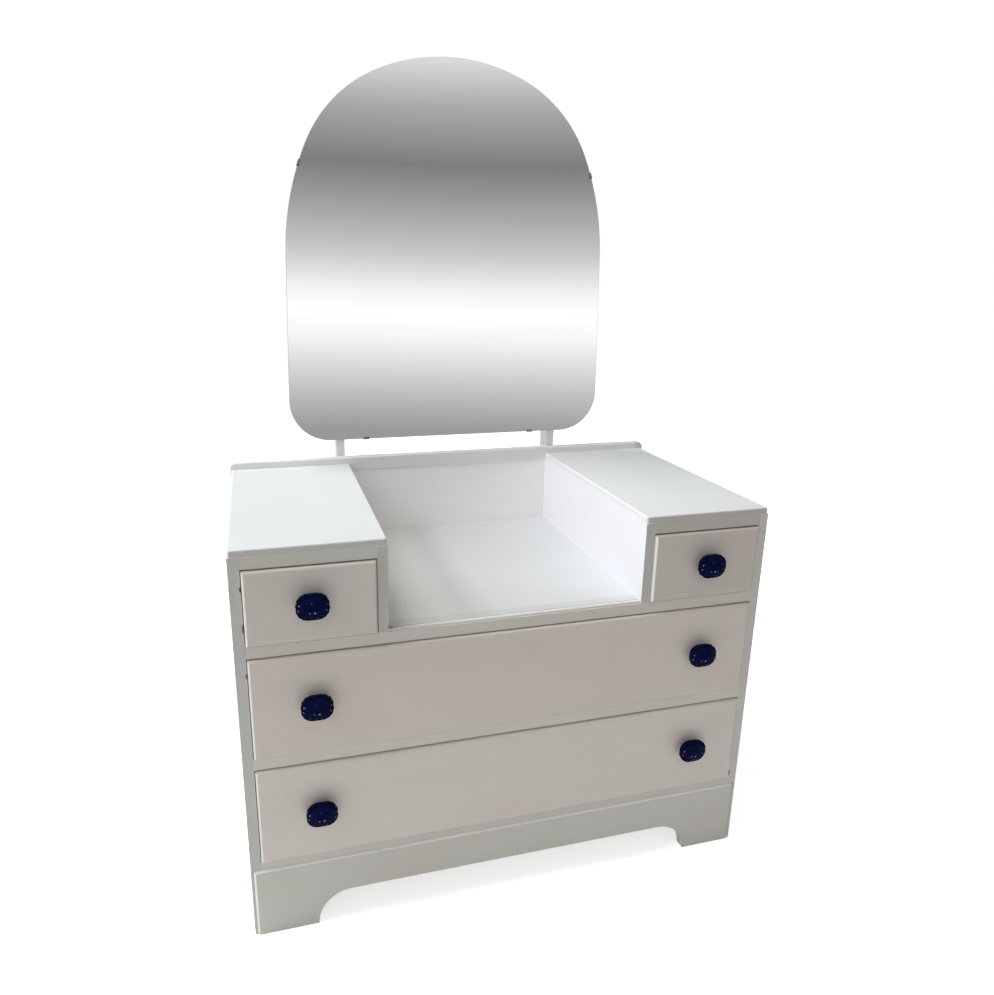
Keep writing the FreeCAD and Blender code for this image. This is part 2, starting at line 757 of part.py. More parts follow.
def clip_screw_at_origin():
    """Small pan-head screw through the clip's leg into the backboard."""
    head_y = carcass_depth + clip_thickness
    shank = rod_y(clip_screw_radius, 0, clip_screw_z(), head_y - clip_screw_length, head_y)
    head = rod_y(clip_screw_head_radius, 0, clip_screw_z(), head_y, head_y + clip_screw_head_height)
    return shank.fuse(head).removeSplitter()


def clip_screw_hole_at_origin():
    """Hole of one clip screw in the leg and the backboard."""
    head_y = carcass_depth + clip_thickness
    return rod_y(clip_screw_radius + hole_clearance, 0, clip_screw_z(),
                 head_y - clip_screw_length, head_y + cut_overrun)


def clip_notch_at_origin():
    """Room behind the backboard for a clip's leg and its screw, where a post stands there."""
    half = clip_width / 2 + clip_play
    head_y = carcass_depth + clip_thickness + clip_screw_head_height
    return box(-half, half, carcass_depth - cut_overrun, head_y + clip_play,
               -clip_play - clip_thickness - clip_play, clip_leg_length + clip_play)


def build_mirror():
    """Plate, backboard and clips."""
    glass = mirror_face(0, glass_y).extrude(FreeCAD.Vector(0, glass_thickness, 0))
    front_edges = [edge for edge in glass.Edges if in_plane(edge, "Y", glass_y)]
    save("mirror_glass", glass.makeChamfer(glass_arris, front_edges))

    board = mirror_face(backboard_inset, backboard_y)
    board = board.extrude(FreeCAD.Vector(0, backboard_thickness, 0))
    for x, z in board_screw_places():
        board = board.cut(board_screw_hole(x, z))
    for x, z, turn in clip_places():
        board = board.cut(turned(clip_screw_hole_at_origin(), x, z, turn))
    save("mirror_backboard", board)
    save("mirror_board_screws", *[board_screw(x, z) for x, z in board_screw_places()])

    save("mirror_clips", *[turned(clip_at_origin(), x, z, turn) for x, z, turn in clip_places()])
    save("mirror_clip_screws",
         *[turned(clip_screw_at_origin(), x, z, turn) for x, z, turn in clip_places()])


def build_posts():
    """Two square posts, screwed to the back of the carcass and behind the mirror."""
    post = box(post_x - post_width / 2, post_x + post_width / 2, carcass_depth, post_rear_y,
               mid_rail_bottom, post_top)
    post = post.makeFillet(post_edge_radius,
                           [edge for edge in post.Edges if in_plane(edge, "Z", post_top)])
    post = with_post_screw_holes(post)
    for x, z in board_screw_places():
        if x > 0:
            post = post.cut(board_screw_hole(x, z))
    for x, z, turn in clip_places():
        notch = turned(clip_notch_at_origin(), x, z, turn)
        if post.BoundBox.intersect(notch.BoundBox):
            post = post.cut(notch)
    save_pair("mirror_post", post)
    screws = [post_screw(side * post_x, z, length)
              for side in (-1, 1) for z, length in post_screw_places()]
    save("post_screws", *screws)


build_sides()
build_inner_sides()
build_tops()
build_gallery()
build_well()
build_back_panel()
build_pedestal_rails()
build_frames()
build_plinth()
build_glue_blocks()
build_drawers()
build_stops()
build_mirror()
build_posts()
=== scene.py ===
import math

import bmesh
import bpy
from mathutils import Matrix, Vector


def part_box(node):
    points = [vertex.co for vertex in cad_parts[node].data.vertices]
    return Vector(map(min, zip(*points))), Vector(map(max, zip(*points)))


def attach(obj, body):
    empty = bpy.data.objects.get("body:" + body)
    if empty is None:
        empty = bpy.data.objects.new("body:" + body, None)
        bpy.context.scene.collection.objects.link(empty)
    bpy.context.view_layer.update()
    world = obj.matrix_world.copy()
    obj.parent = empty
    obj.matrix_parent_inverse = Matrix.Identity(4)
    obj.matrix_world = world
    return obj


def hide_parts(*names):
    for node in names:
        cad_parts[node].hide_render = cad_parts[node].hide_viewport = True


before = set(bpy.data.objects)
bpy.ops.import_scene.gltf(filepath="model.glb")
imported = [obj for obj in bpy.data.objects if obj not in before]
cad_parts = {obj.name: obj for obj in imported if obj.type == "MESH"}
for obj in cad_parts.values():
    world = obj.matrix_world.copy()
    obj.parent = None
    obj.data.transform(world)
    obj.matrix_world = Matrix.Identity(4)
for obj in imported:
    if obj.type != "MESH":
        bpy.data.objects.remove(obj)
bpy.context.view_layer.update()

X, Y, Z = 0, 1, 2
to_left, to_right = (-1, 0, 0), (1, 0, 0)
to_front, to_rear = (0, -1, 0), (0, 1, 0)
downwards = (0, 0, -1)
# Turn from which a face counts as flat to the front or rear
flat_turn = 0.9


# Work on meshes


def deselect():
    """Leave nothing selected."""
    bpy.ops.object.select_all(action="DESELECT")


def take_up(piece):
    """Select one piece alone and make it the active one."""
    deselect()
    piece.select_set(True)
    bpy.context.view_layer.objects.active = piece


def edit(piece):
    """Edit mode on one piece, with nothing selected in it."""
    take_up(piece)
    bpy.ops.object.mode_set(mode="EDIT")
    bpy.ops.mesh.select_all(action="DESELECT")


def finish_edit():
    """Back to object mode."""
    bpy.ops.object.mode_set(mode="OBJECT")


def pick_faces(piece, test):
    """Select the faces whose centre and normal pass the test."""
    bpy.ops.mesh.select_mode(type="FACE")
    mesh = bmesh.from_edit_mesh(piece.data)
    for face in mesh.faces:
        face.select_set(test(face.calc_center_median(), face.normal))
    bmesh.update_edit_mesh(piece.data)


def faces_front(spot, normal):
    """True for a flat face turned to the front."""
    return normal.y < -flat_turn


def faces_rear(spot, normal):
    """True for a flat face turned to the rear."""
    return normal.y > flat_turn


def settle(piece):
    """Put the piece's place into its mesh, so that its object sits at the origin."""
    take_up(piece)
    bpy.ops.object.transform_apply(location=True, rotation=True, scale=True)


def call_it(piece, name):
    """Name a piece and its mesh."""
    piece.name = name
    piece.data.name = name


def join(pieces):
    """Several pieces as one."""
    take_up(pieces[0])
    for piece in pieces:
        piece.select_set(True)
    if len(pieces) > 1:
        bpy.ops.object.join()
    return pieces[0]


def copy_to(piece, shift, turn=0.0, centre=Vector()):
    """A copy with its own mesh, turned about an axis along Y through a centre and moved by a shift."""
    twin = piece.copy()
    twin.data = piece.data.copy()
    bpy.context.scene.collection.objects.link(twin)
    twin.data.transform(Matrix.Translation(centre + shift) @ Matrix.Rotation(turn, 4, "Y")
                        @ Matrix.Translation(-centre))
    return twin


def stand_for(piece, node, body):
    """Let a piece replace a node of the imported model, on the body it moves with."""
    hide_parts(node)
    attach(piece, body)


def drawer_of(node):
    """The drawer that a knob or its screw belongs to."""
    return node.split("_knob")[0] + "_drawer"


# Nodes of materials


def put(tree, socket, value):
    """Give a socket a value or a link."""
    if isinstance(value, bpy.types.NodeSocket):
        tree.links.new(value, socket)
    else:
        socket.default_value = value


def math_node(tree, operation, a, b=0.0, c=0.0):
    """One sum on numbers."""
    node = tree.nodes.new("ShaderNodeMath")
    node.operation = operation
    for socket, value in zip(node.inputs, (a, b, c)):
        put(tree, socket, value)
    return node.outputs[0]


def vector_node(tree, operation, a, b=(0, 0, 0)):
    """One sum on vectors."""
    node = tree.nodes.new("ShaderNodeVectorMath")
    node.operation = operation
    put(tree, node.inputs[0], a)
    put(tree, node.inputs[1], b)
    return node.outputs["Value" if operation in ("DOT_PRODUCT", "LENGTH") else "Vector"]


def split(tree, vector):
    """The three parts of a vector."""
    node = tree.nodes.new("ShaderNodeSeparateXYZ")
    tree.links.new(vector, node.inputs[0])
    return node.outputs


def coordinates(tree, output="Object"):
    """Where the surface is, or the way it faces, in the model's own frame."""
    return tree.nodes.new("ShaderNodeTexCoord").outputs[output]


def turned_to(tree, way):
    """How far a surface faces a given way, up to 1."""
    return vector_node(tree, "DOT_PRODUCT", coordinates(tree, "Normal"), way)


def stretched(tree, vector, scale, shift=(0, 0, 0)):
    """Coordinates scaled and shifted for a pattern."""
    node = tree.nodes.new("ShaderNodeMapping")
    tree.links.new(vector, node.inputs["Vector"])
    node.inputs["Scale"].default_value = scale
    node.inputs["Location"].default_value = shift
    return node.outputs[0]


def noise(tree, vector, scale=1.0, detail=2.0, roughness=0.5, distortion=0.0):
    """Soft random marks, about 0.3 to 0.7."""
    node = tree.nodes.new("ShaderNodeTexNoise")
    tree.links.new(vector, node.inputs["Vector"])
    node.inputs["Scale"].default_value = scale
    node.inputs["Detail"].default_value = detail
    node.inputs["Roughness"].default_value = roughness
    node.inputs["Distortion"].default_value = distortion
    return node.outputs[0]


def spread(tree, value, start, end, out_start=0.0, out_end=1.0):
    """Map a value's range from start..end to another, clamped."""
    node = tree.nodes.new("ShaderNodeMapRange")
    for socket, entry in zip(node.inputs, (value, start, end, out_start, out_end)):
        put(tree, socket, entry)
    return node.outputs[0]


def mix(tree, factor, a, b, blend="MIX"):
    """Blend two colours."""
    node = tree.nodes.new("ShaderNodeMix")
    node.data_type = "RGBA"
    node.blend_type = blend
    put(tree, node.inputs[0], factor)
    put(tree, node.inputs[6], a)
    put(tree, node.inputs[7], b)
    return node.outputs[2]


def weighted(tree, a, a_share, b, b_share):
    """Sum of two values by their shares."""
    return math_node(tree, "ADD", math_node(tree, "MULTIPLY", a, a_share),
                     math_node(tree, "MULTIPLY", b, b_share))


def ramp(tree, factor, stops):
    """Colours along a factor, as (place, grey or colour)."""
    node = tree.nodes.new("ShaderNodeValToRGB")
    tree.links.new(factor, node.inputs[0])
    elements = node.color_ramp.elements
    while len(elements) < len(stops):
        elements.new(0.5)
    for element, (spot, colour) in zip(elements, stops):
        element.position = spot
        element.color = colour if isinstance(colour, tuple) else (colour, colour, colour, 1)
    return node.outputs[0]


def bump(tree, height, distance, strength=1.0):
    """Fine relief from a height."""
    node = tree.nodes.new("ShaderNodeBump")
    node.inputs["Strength"].default_value = strength
    node.inputs["Distance"].default_value = distance
    tree.links.new(height, node.inputs["Height"])
    return node.outputs[0]


def new_material(name):
    """A material with one shader, as (material, tree, shader)."""
    material = bpy.data.materials.new(name)
    material.use_nodes = True
    tree = material.node_tree
    shader = next(node for node in tree.nodes if node.type == "BSDF_PRINCIPLED")
    return material, tree, shader


def dress(node, material):
    """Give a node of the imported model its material."""
    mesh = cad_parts[node].data
    mesh.materials.clear()
    mesh.materials.append(material)


def across(axis, along, over):
    """Scale of a grain that is slow along one axis and fine over the others."""
    return tuple(along if index == axis else over for index in range(3))


# Bare wood: scale of its marks along and across the grain, and how strongly they show
ring_grain = (2.2, 38.0)
ring_detail, ring_waviness = 3.0, 0.6
ring_bands = 9.0
fibre_grain = (25.0, 900.0)
cloud_grain = (3.0, 9.0)
band_share = 0.6
fibre_share = 0.4
grain_reach = (0.25, 0.85)
cloud_shade = (0.3, 0.7, 0.86, 1.06)
wood_roughness = (0.3, 0.7, 0.62, 0.78)
fibre_depth = 0.0002
fibre_relief = 0.6

pine_light, pine_dark = (0.60, 0.43, 0.25, 1), (0.40, 0.25, 0.13, 1)
ply_light, ply_dark = (0.66, 0.50, 0.31, 1), (0.54, 0.38, 0.21, 1)
stain_light, stain_dark = (0.30, 0.18, 0.10, 1), (0.17, 0.09, 0.05, 1)
unpainted_light, unpainted_dark = (0.56, 0.40, 0.24, 1), (0.36, 0.22, 0.12, 1)


def wood_colour(tree, axis, light, dark, seed):
    """Softwood grain along an axis, as (colour, height)."""
    point = coordinates(tree)
    rings = noise(tree, stretched(tree, point, across(axis, *ring_grain), (seed, seed, seed)),
                  detail=ring_detail, distortion=ring_waviness)
    bands = math_node(tree, "PINGPONG", math_node(tree, "MULTIPLY", rings, ring_bands), 1.0)
    fibre = noise(tree, stretched(tree, point, across(axis, *fibre_grain), (seed, 0, 0)))
    cloud = noise(tree, stretched(tree, point, across(axis, *cloud_grain)))
    grain = weighted(tree, bands, band_share, fibre, fibre_share)
    colour = mix(tree, spread(tree, grain, *grain_reach), light, dark)
    shade = spread(tree, cloud, *cloud_shade)
    grey = tree.nodes.new("ShaderNodeCombineColor")
    for socket in grey.inputs:
        tree.links.new(shade, socket)
    return mix(tree, 1.0, colour, grey.outputs[0], "MULTIPLY"), fibre


def bare_wood(name, axis, light, dark, seed):
    """Unpainted board or plywood with its grain along an axis."""
    material, tree, shader = new_material(name)
    colour, fibre = wood_colour(tree, axis, light, dark, seed)
    tree.links.new(colour, shader.inputs["Base Color"])
    tree.links.new(spread(tree, fibre, *wood_roughness), shader.inputs["Roughness"])
    tree.links.new(bump(tree, fibre, fibre_depth, fibre_relief), shader.inputs["Normal"])
    return material


pine_deep = bare_wood("pine_front_to_back", Y, pine_light, pine_dark, 1.0)
pine_wide = bare_wood("pine_across", X, pine_light, pine_dark, 2.0)
pine_high = bare_wood("pine_upright", Z, pine_light, pine_dark, 3.0)
thin_ply = bare_wood("drawer_plywood", X, ply_light, ply_dark, 4.0)
stained_ply = bare_wood("stained_backboard", Z, stain_light, stain_dark, 5.0)
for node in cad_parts:
    if node.endswith("_sides") or "runners" in node or "kickers" in node or node == "drawer_stops":
        dress(node, pine_deep)
    elif node.endswith("_rail_rear") or node == "top_rear_rails" or (
            node.endswith("_back") and node.startswith(("small", "long"))):
        dress(node, pine_wide)
    elif node == "plinth_glue_blocks":
        dress(node, pine_high)
    elif node.endswith("_bottom"):
        dress(node, thin_ply)
dress("mirror_backboard", stained_ply)


# Paint: scale of its brush strokes and cloudy patches along and across, and of its finer marks
stroke_grain = (9.0, 420.0)
stroke_detail, stroke_roughness = 3.0, 0.6
patch_grain = (3.0, 7.0)
patch_detail = 3.0
ragged_scale, ragged_detail, ragged_roughness = 95.0, 4.0, 0.65
fine_scale = 420.0
peel_scale = 160.0
blush_tint = (1.0, 0.972, 0.962, 1)
moss_tint = (0.975, 0.975, 0.95, 1)
blush_reach = (0.45, 0.66)
moss_reach = (0.48, 0.34)
stroke_reach = (0.3, 0.72, 0.0, 0.16)
stroke_tone = (0.74, 0.73, 0.69, 1)
# Turn of a face to the front at which its painted front shade starts and is full, and share of a painted
# shade run
front_shade_turn = (0.35, 0.95)
shade_run_share = 0.9
# Rubbed and chipped edges: distance from the edge, how much of it, and colour
rub_reach, rub_share, rub_tone = 0.004, 0.35, (0.70, 0.66, 0.56, 1)
rub_marks = (0.52, 0.66)
chip_reach, chip_tone = 0.0028, (0.16, 0.13, 0.10, 1)
chip_at_edge, chip_inside = 0.655, 0.80
chip_ragged, chip_fine = 0.75, 0.25
wear_reach = (0.75, 1.05, 1.0, 0.0)
wear_raggedness = 1.5
# Gloss and relief
paint_roughness = (0.3, 0.7, 0.44, 0.58)
paint_gloss = 0.32
peel_share = 0.5
chip_depth = 1.2
paint_relief, paint_relief_share = 0.00022, 0.55
# Bare wood where the brush didn't reach
bare_turn = 0.5
bare_raggedness = 0.004
bare_roughness = 0.25

# Colours of wear and dark joints; the last two are a painted highlight line and a painted shade line
soot = (0.07, 0.06, 0.05, 1)
grime = (0.40, 0.38, 0.34, 1)
worn = (0.50, 0.36, 0.28, 1)
seam = (0.42, 0.41, 0.38, 1)
pink = (0.70, 0.57, 0.52, 1)
dust = (0.50, 0.50, 0.46, 1)
ridge_highlight = (0.72, 0.71, 0.68, 1)
lip_shade = (0.36, 0.36, 0.33, 1)
# Reach of a mark that runs the whole length of its board
whole_length = 5.0
well_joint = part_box("well_floor")[0].y
# Painted shade line along the lipping, as a share of the way from its front to its joint with the floor
lip_line_share = 0.2
lip_line = (1 - lip_line_share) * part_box("well_lipping")[0].y + lip_line_share * well_joint
under_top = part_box("top_left")[0].z
# Marks on each board, wear, specks and dark joints, with a painted shade line along the lipping and painted
# highlight lines where the tops meet the rails below: place, reach along each axis, colour, strength
wear_and_painted_light = {
    "side_left": [((-0.4402, -0.2505, 0.629), (0.0022, 0.01, 0.006), soot, 0.9),
                  ((-0.4404, -0.2505, 0.566), (0.0018, 0.01, 0.009), soot, 0.8),
                  ((-0.4402, -0.2505, 0.486), (0.0018, 0.01, 0.006), soot, 0.8),
                  ((-0.4566, -0.2505, 0.629), (0.0016, 0.004, 0.004), grime, 0.8),
                  ((-0.4567, -0.2505, 0.607), (0.0014, 0.004, 0.003), grime, 0.7),
                  ((-0.4575, -0.2505, 0.550), (0.0018, 0.004, 0.005), worn, 0.7),
                  ((-0.4575, -0.2505, 0.537), (0.0016, 0.004, 0.004), worn, 0.7),
                  ((-0.4397, -0.2505, 0.6685), (0.0009, 0.01, 0.012), seam, 0.9),
                  ((-0.4397, -0.2505, 0.5275), (0.0010, 0.01, 0.009), seam, 0.5)],
    "side_right": [((0.4397, -0.2505, 0.6685), (0.0009, 0.01, 0.012), seam, 0.7),
                   ((0.4399, -0.2505, 0.152), (0.0022, 0.01, 0.007), soot, 0.9)],
    "top_rail_left": [((-0.2788, -0.2505, 0.661), (0.0008, 0.004, 0.005), grime, 0.8)],
    "inner_side_left": [((-0.2199, -0.2495, 0.5430), (0.0014, 0.006, 0.0045), soot, 0.85)],
    "well_lipping": [((-0.2165, -0.2505, 0.5393), (0.0040, 0.006, 0.0012), soot, 0.6),
                     ((-0.1980, -0.2505, 0.5375), (0.0200, 0.006, 0.0016), pink, 0.5),
                     ((0.0, lip_line, 0.5395), (whole_length, 0.0012, 0.004), lip_shade, 0.8)],
    "well_floor": [((-0.1788, -0.1761, 0.5395), (0.0022, 0.0022, 0.004), grime, 0.9),
                   ((0.0, well_joint, 0.5395), (whole_length, 0.0016, 0.004), dust, 0.55)],
    "top_left": [((-0.2468, -0.2489, 0.6865), (0.0080, 0.006, 0.0016), grime, 0.3),
                 ((-0.4266, -0.2489, 0.6870), (0.0050, 0.006, 0.0014), grime, 0.3),
                 ((-0.3380, -0.2500, under_top), (whole_length, 0.010, 0.0011), ridge_highlight, 0.7)],
    "top_right": [((0.3380, -0.2500, under_top), (whole_length, 0.010, 0.0011), ridge_highlight, 0.5)],
    "gallery_board": [((0.4545, 0.2235, 0.6990), (0.0160, 0.020, 0.0100), pink, 0.7)],
    "plinth_board": [((-0.4560, -0.2535, 0.0030), (0.0050, 0.010, 0.0050), worn, 0.6)],
}


def edge_distance(tree, point, low, high):
    """Distance from a point on a board to the nearest edge of the board's box."""
    inner = vector_node(tree, "MINIMUM", vector_node(tree, "SUBTRACT", point, low),
                        vector_node(tree, "SUBTRACT", high, point))
    x, y, z = split(tree, inner)
    smaller = math_node(tree, "MINIMUM", x, y)
    larger = math_node(tree, "MAXIMUM", x, y)
    return math_node(tree, "MAXIMUM", smaller, math_node(tree, "MINIMUM", larger, z))


def wear_mark(tree, point, ragged, place, reach):
    """A ragged mark round a place, from 1 in its middle to 0."""
    away = vector_node(tree, "DIVIDE", vector_node(tree, "SUBTRACT", point, place), reach)
    uneven = math_node(tree, "MULTIPLY", math_node(tree, "SUBTRACT", ragged, 0.5), wear_raggedness)
    away = math_node(tree, "ADD", vector_node(tree, "LENGTH", away), uneven)
    return spread(tree, away, *wear_reach)


def cloudy(tree, paint, patches):
    """A paint with pinker and greener patches."""
    blush = tuple(part * share for part, share in zip(paint, blush_tint))
    moss = tuple(part * share for part, share in zip(paint, moss_tint))
    tint = mix(tree, spread(tree, patches, *blush_reach), paint, blush)
    return mix(tree, spread(tree, patches, *moss_reach), tint, moss)


def board_tint(tree, point, box, paint, patches, front, arris_highlight, shade_along):
    """Colour of a board's clean paint with painted light and shade: its painted shade run from left to
    right, its front in another white as shade and its arris painted lighter as a highlight, where it has
    them."""
    tint = cloudy(tree, paint, patches)
    # A run of painted shade from left to right, where the board has one
    if shade_along:
        along = spread(tree, split(tree, point)[X], box[0].x, box[1].x)
        tint = mix(tree, shade_run_share, tint, ramp(tree, along, shade_along))
    # Faces turned to the front take another white: painted shade
    if front:
        tint = mix(tree, spread(tree, turned_to(tree, to_front), *front_shade_turn), tint,
                   cloudy(tree, front, patches))
    # An arris turned to the light is painted paler: a painted highlight
    if arris_highlight:
        way, turn_start, turn_end, colour = arris_highlight
        tint = mix(tree, spread(tree, turned_to(tree, way), turn_start, turn_end), tint, colour)
    return tint


def rubbed(tree, tint, edge, ragged):
    """The colour with its edges rubbed thin here and there."""
    rub = math_node(tree, "MULTIPLY", spread(tree, edge, 0.0, rub_reach, 1.0, 0.0),
                    spread(tree, ragged, *rub_marks))
    return mix(tree, math_node(tree, "MULTIPLY", rub, rub_share), tint, rub_tone)


def chip_mask(tree, point, edge, ragged, chips):
    """1 where the paint is chipped off, mostly at the edges; chips above 1 gives more of them."""
    fine = noise(tree, point, fine_scale)
    marks = weighted(tree, ragged, chip_ragged, fine, chip_fine)
    return math_node(tree, "GREATER_THAN", marks,
                     spread(tree, edge, 0.0, chip_reach, chip_at_edge / chips, chip_inside))


def bare_mask(tree, point, ragged, bare, bare_from):
    """1 where a board stays bare: on faces turned one way, deeper than a depth, or both at once."""
    masks = []
    if bare:
        masks.append(math_node(tree, "GREATER_THAN", turned_to(tree, bare), bare_turn))
    if bare_from is not None:
        depth = math_node(tree, "ADD", split(tree, point)[Y],
                          math_node(tree, "MULTIPLY", ragged, bare_raggedness))
        masks.append(math_node(tree, "GREATER_THAN", depth, bare_from))
    return masks[0] if len(masks) == 1 else math_node(tree, "MULTIPLY", *masks)


def painted(node, paint, axis, bare=None, bare_from=None, seed=0.0, chips=1.0, front=None, arris_highlight=None,
            shade_along=None):
    """White paint brushed along an axis of a board, with its wear and its painted light and shade. Faces
    turned as bare says stay bare wood, or all that lies deeper than bare_from, or what is both."""
    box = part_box(node)
    material, tree, shader = new_material("paint_" + node)
    point = coordinates(tree)
    strokes = noise(tree, stretched(tree, point, across(axis, *stroke_grain), (seed, seed, seed)),
                    detail=stroke_detail, roughness=stroke_roughness)
    patches = noise(tree, stretched(tree, point, across(axis, *patch_grain), (seed, 0, seed)),
                    detail=patch_detail)
    ragged = noise(tree, point, ragged_scale, ragged_detail, ragged_roughness)
    edge = edge_distance(tree, point, *box)

    tint = board_tint(tree, point, box, paint, patches, front, arris_highlight, shade_along)
    tint = mix(tree, spread(tree, strokes, *stroke_reach), tint, stroke_tone)
    tint = rubbed(tree, tint, edge, ragged)
    chip = chip_mask(tree, point, edge, ragged, chips)
    tint = mix(tree, chip, tint, chip_tone)
    # Marks of wear and dark joints, and painted shade and highlight lines
    for place, reach, colour, strength in wear_and_painted_light.get(node, ()):
        mark = math_node(tree, "MULTIPLY", wear_mark(tree, point, ragged, place, reach), strength)
        tint = mix(tree, mark, tint, colour)

    rough = spread(tree, strokes, *paint_roughness)
    peel = noise(tree, point, peel_scale)
    height = math_node(tree, "ADD", strokes, math_node(tree, "MULTIPLY", peel, peel_share))
    height = math_node(tree, "SUBTRACT", height, math_node(tree, "MULTIPLY", chip, chip_depth))
    if bare or bare_from is not None:
        mask = bare_mask(tree, point, ragged, bare, bare_from)
        tint = mix(tree, mask, tint, wood_colour(tree, axis, unpainted_light, unpainted_dark, seed)[0])
        rough = math_node(tree, "ADD", rough, math_node(tree, "MULTIPLY", mask, bare_roughness))
    shader.inputs["Specular IOR Level"].default_value = paint_gloss
    tree.links.new(tint, shader.inputs["Base Color"])
    tree.links.new(rough, shader.inputs["Roughness"])
    tree.links.new(bump(tree, height, paint_relief, paint_relief_share), shader.inputs["Normal"])
    dress(node, material)


# Whites of the boards, each a little different: partly the paint's own tone, partly painted light and shade,
# each board's white set lighter or darker for how light falls on it
left_top_white = (0.658, 0.683, 0.693, 1)
right_top_white = (0.76, 0.778, 0.79, 1)
well_side_white = (0.83, 0.832, 0.88, 1)
well_white = (0.63, 0.627, 0.612, 1)
well_back_white = (0.965, 0.965, 0.95, 1)
side_white = (0.66, 0.665, 0.655, 1)
post_white = (0.96, 0.96, 0.95, 1)
stile_white = (0.595, 0.592, 0.57, 1)
right_stile_white = (0.67, 0.65, 0.61, 1)
inner_stile_white = (0.56, 0.545, 0.51, 1)
gallery_white = (0.81, 0.815, 0.805, 1)
upper_rail_white = (0.69, 0.655, 0.605, 1)
mid_rail_white = (0.75, 0.715, 0.665, 1)
bottom_rail_white = (0.67, 0.64, 0.59, 1)
left_top_rail_white = (0.64, 0.62, 0.565, 1)
right_top_rail_white = (0.575, 0.547, 0.502, 1)
drawer_white = (0.747, 0.681, 0.62, 1)
left_drawer_white = (0.70, 0.65, 0.60, 1)
right_drawer_white = (0.66, 0.60, 0.558, 1)
low_drawer_white = (0.77, 0.714, 0.66, 1)
plinth_white = (0.658, 0.64, 0.592, 1)
lipping_white = (0.535, 0.53, 0.505, 1)

# Painted shade on the well's floor from left to right, as (share of its width, colour): painted lighter
# by the pedestal, darkest a third across as the pedestal's painted shadow, and cooler beyond. The lipping
# in front of it is a little duller.
floor_shade_tones = [(0.0, (0.97, 0.955, 0.91, 1)), (0.15, (0.67, 0.66, 0.63, 1)), (0.30, (0.51, 0.505, 0.49, 1)),
               (0.43, (0.60, 0.605, 0.60, 1)), (1.0, (0.645, 0.66, 0.68, 1))]
lipping_share = 0.91
lipping_shade_tones = [(share, tuple(lipping_share * part for part in colour[:3]) + (1,))
                 for share, colour in floor_shade_tones]

# Painted highlights on arrises: the way they face, the turn at which the painted highlight starts and is
# full, and its colour
left_arris_highlight = (to_left, 0.1, 0.4, (0.90, 0.885, 0.85, 1))
top_arris_highlight = (to_left, 0.15, 0.6, (0.93, 0.93, 0.92, 1))
plinth_arris_highlight = ((-0.7, 0, 0.7), 0.08, 0.3, (0.95, 0.935, 0.90, 1))
lipping_arris_highlight = ((0, -0.7, 0.7), 0.72, 0.92, (0.82, 0.81, 0.77, 1))

# How far in from the front of the carcass the brush reached
brush_depth = 0.014
brushed_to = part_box("side_left")[0].y + brush_depth

# Where a board has a front colour, its front faces carry painted shade; where it has an arris colour, that
# arris carries a painted highlight
painted("side_left", side_white, Z, to_right, brushed_to, seed=1.3, chips=1.06, front=stile_white)
painted("side_right", side_white, Z, to_left, brushed_to, seed=2.1, front=right_stile_white)
painted("inner_side_left", well_side_white, Y, to_left, brushed_to, seed=3.7, front=inner_stile_white)
painted("inner_side_right", well_side_white, Y, to_right, brushed_to, seed=4.9, front=inner_stile_white)
painted("top_left", left_top_white, Y, downwards, seed=5.2, front=stile_white, arris_highlight=top_arris_highlight)
painted("top_right", right_top_white, Y, downwards, seed=6.8, front=inner_stile_white)
painted("gallery_board", gallery_white, X, seed=7.4, chips=0.8)
painted("well_floor", well_white, X, downwards, seed=8.6, shade_along=floor_shade_tones)
painted("well_lipping", lipping_white, X, downwards, seed=9.5, front=upper_rail_white,
        arris_highlight=lipping_arris_highlight, shade_along=lipping_shade_tones)
painted("well_back", well_back_white, X, to_rear, seed=10.9)
painted("back_panel", side_white, X, to_rear, seed=10.2)
painted("plinth_board", plinth_white, X, to_rear, seed=11.9, arris_highlight=plinth_arris_highlight)
for rail, white, seed in (("top_rail_left", left_top_rail_white, 12.1),
                          ("top_rail_right", right_top_rail_white, 13.3),
                          ("upper_rail_front", upper_rail_white, 14.7),
                          ("mid_rail_front", mid_rail_white, 15.8),
                          ("bottom_rail_front", bottom_rail_white, 16.4)):
    painted(rail, white, X, bare_from=brushed_to, seed=seed)
for front, white, seed in (("small_left_front", left_drawer_white, 17.2),
                           ("small_right_front", right_drawer_white, 18.5),
                           ("long_upper_front", drawer_white, 19.1),
                           ("long_lower_front", low_drawer_white, 20.6)):
    painted(front, white, X, to_rear, seed=seed, arris_highlight=left_arris_highlight)
painted("mirror_post_left", post_white, Z, seed=21.7)
painted("mirror_post_right", post_white, Z, seed=22.9)


# Metal: scale of its dull patches and its scratches
dull_scale, dull_detail = 220.0, 3.0
scratch_grain = (300.0, 2600.0, 900.0)
dull_reach = (0.45, 0.62)
dull_range, dull_roughness = (0.3, 0.7), 0.22
scratch_depth, scratch_relief = 0.00003, 0.4
bright_zinc, dull_zinc, zinc_roughness = (0.62, 0.62, 0.60, 1), (0.45, 0.43, 0.38, 1), 0.3
bright_steel, dull_steel, steel_roughness = (0.30, 0.295, 0.29, 1), (0.22, 0.215, 0.21, 1), 0.38


